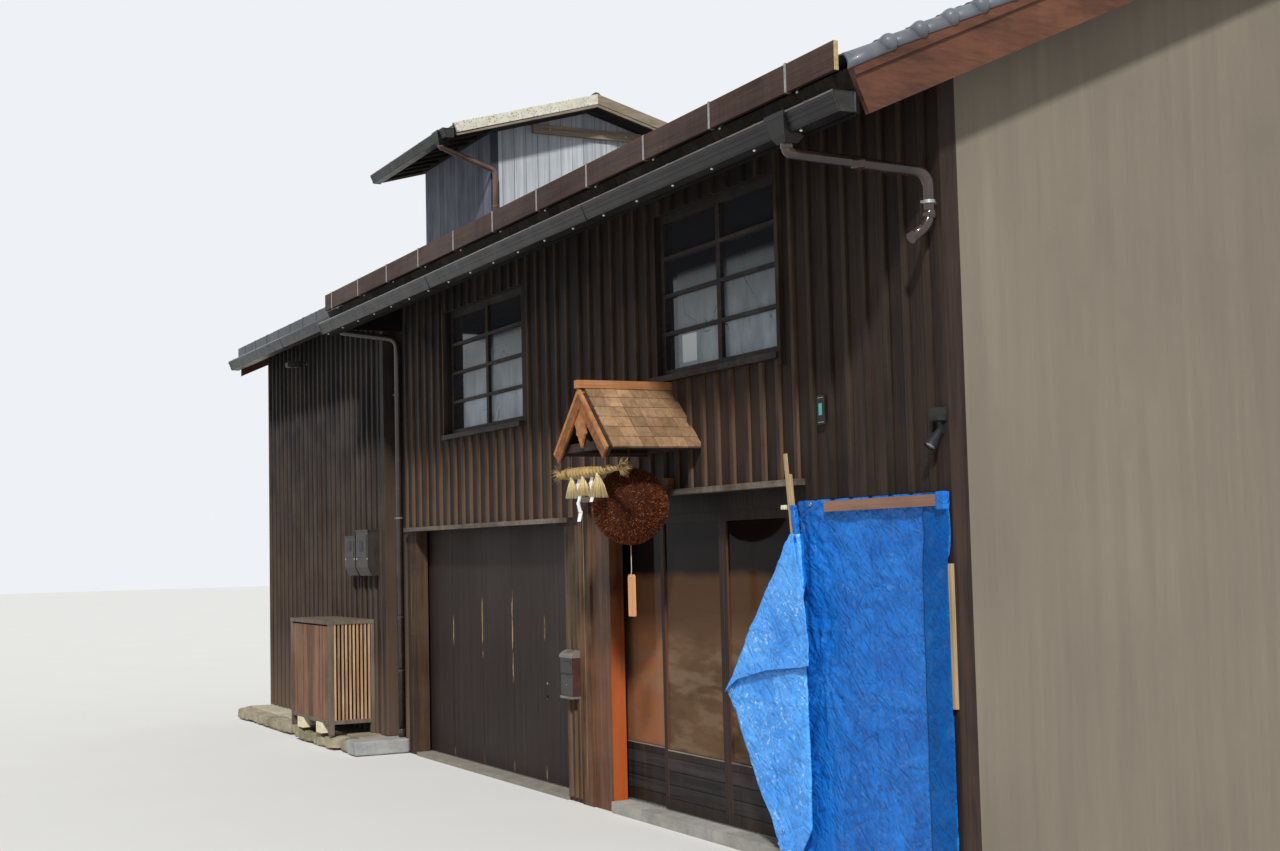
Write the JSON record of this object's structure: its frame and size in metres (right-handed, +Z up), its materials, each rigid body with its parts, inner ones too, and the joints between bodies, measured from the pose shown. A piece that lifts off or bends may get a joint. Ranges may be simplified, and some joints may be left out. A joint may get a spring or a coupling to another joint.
{
  "type": "machiya townhouse",
  "caption": "Two-storey timber townhouse with board-and-batten front, tiled gable roof, raised roof, wide board door, sliding glass doors, cedar ball and blue sheet.",
  "frame": {"origin": "on the ground at the street face, half way along the house, under the wide board door", "axes": "+X along the street front to the right, +Y into the house, +Z up; the front faces -Y"},
  "size_m": [12.348, 7.178, 6.5649],
  "materials": {
    "concrete": "rough",
    "floor_boards": "worn",
    "grey_stone": "rough",
    "plain_plaster": "matte",
    "dark_boards": "weathered",
    "brown_timber": "weathered",
    "weathered_board": "weathered",
    "door_boards": "satin",
    "dark_timber": "satin",
    "steel": "brushed",
    "clear_glass": "clear",
    "frosted_glass": "frosted",
    "roof_tile": "matte",
    "cedar_board": "satin",
    "black_metal": "satin",
    "brown_board": "weathered",
    "brown_metal": "satin",
    "grey_boards": "weathered",
    "lichen_board": "weathered",
    "shingle": "weathered",
    "cedar_sprigs": "rough",
    "straw": "rough",
    "pale_wood": "plain",
    "grey_plastic": "matte",
    "lamp_metal": "satin",
    "blue_sheet": "woven"
  },
  "bodies": {
    "house": {"ground_floor": "concrete", "upper_floor": "floor_boards", "stone_ledge": "grey_stone", "stone_sill": "grey_stone", "left_party_wall": "plain_plaster", "right_party_wall": "plain_plaster", "back_wall": "dark_boards", "front_wall_left": "dark_boards", "front_wall_over_garage": "dark_boards", "front_wall_over_shop": "dark_boards", "garage_side_wall": "dark_boards", "centre_pier": "dark_boards", "right_pier": "dark_boards", "street_posts": "brown_timber", "drip_boards": "weathered_board", "shop_door_frame": "dark_timber", "door_rails": "steel", "window_frames": "dark_timber", "window_glass": "frosted_glass", "roof_front": "roof_tile", "roof_back": "roof_tile", "roof_ridge": "roof_tile", "barge_boards": "cedar_board", "eave_boards": "black_metal", "snow_board": "brown_board", "gutters": "black_metal", "downpipes": "brown_metal", "raised_long_walls": "dark_boards", "raised_gable_walls": "grey_boards", "raised_roof": "roof_tile", "raised_roof_timbers": "lichen_board", "canopy_frame": "brown_timber", "canopy_roof": "shingle", "cedar_ball": "cedar_sprigs", "straw_rope": "straw", "wood_tag": "pale_wood", "mailbox": "brown_metal", "meter_boxes": "grey_plastic", "equipment_cover": "brown_board", "lamps": "lamp_metal", "tarp": "blue_sheet", "tarp_battens": "pale_wood"},
    "board_door": {"garage_door": "door_boards"},
    "glass_panel_1": {"glass_door_1": "dark_timber", "door_glass_1": "clear_glass"},
    "glass_panel_2": {"glass_door_2": "dark_timber", "door_glass_2": "clear_glass"},
    "glass_panel_3": {"glass_door_3": "dark_timber", "door_glass_3": "clear_glass"},
    "glass_panel_4": {"glass_door_4": "dark_timber", "door_glass_4": "clear_glass"}
  },
  "joints": [
    {"name": "board_door_slide", "type": "slide", "parent": "house", "child": "board_door", "axis": [-1, 0, 0], "range_m": [0, 3.1]},
    {"name": "glass_panel_1_slide", "type": "slide", "parent": "house", "child": "glass_panel_1", "axis": [1, 0, 0], "range_m": [0, 0.74]},
    {"name": "glass_panel_2_slide", "type": "slide", "parent": "house", "child": "glass_panel_2", "axis": [-1, 0, 0], "range_m": [0, 0.74]},
    {"name": "glass_panel_3_slide", "type": "slide", "parent": "house", "child": "glass_panel_3", "axis": [1, 0, 0], "range_m": [0, 0.74]},
    {"name": "glass_panel_4_slide", "type": "slide", "parent": "house", "child": "glass_panel_4", "axis": [-1, 0, 0], "range_m": [0, 0.74]}
  ]
}
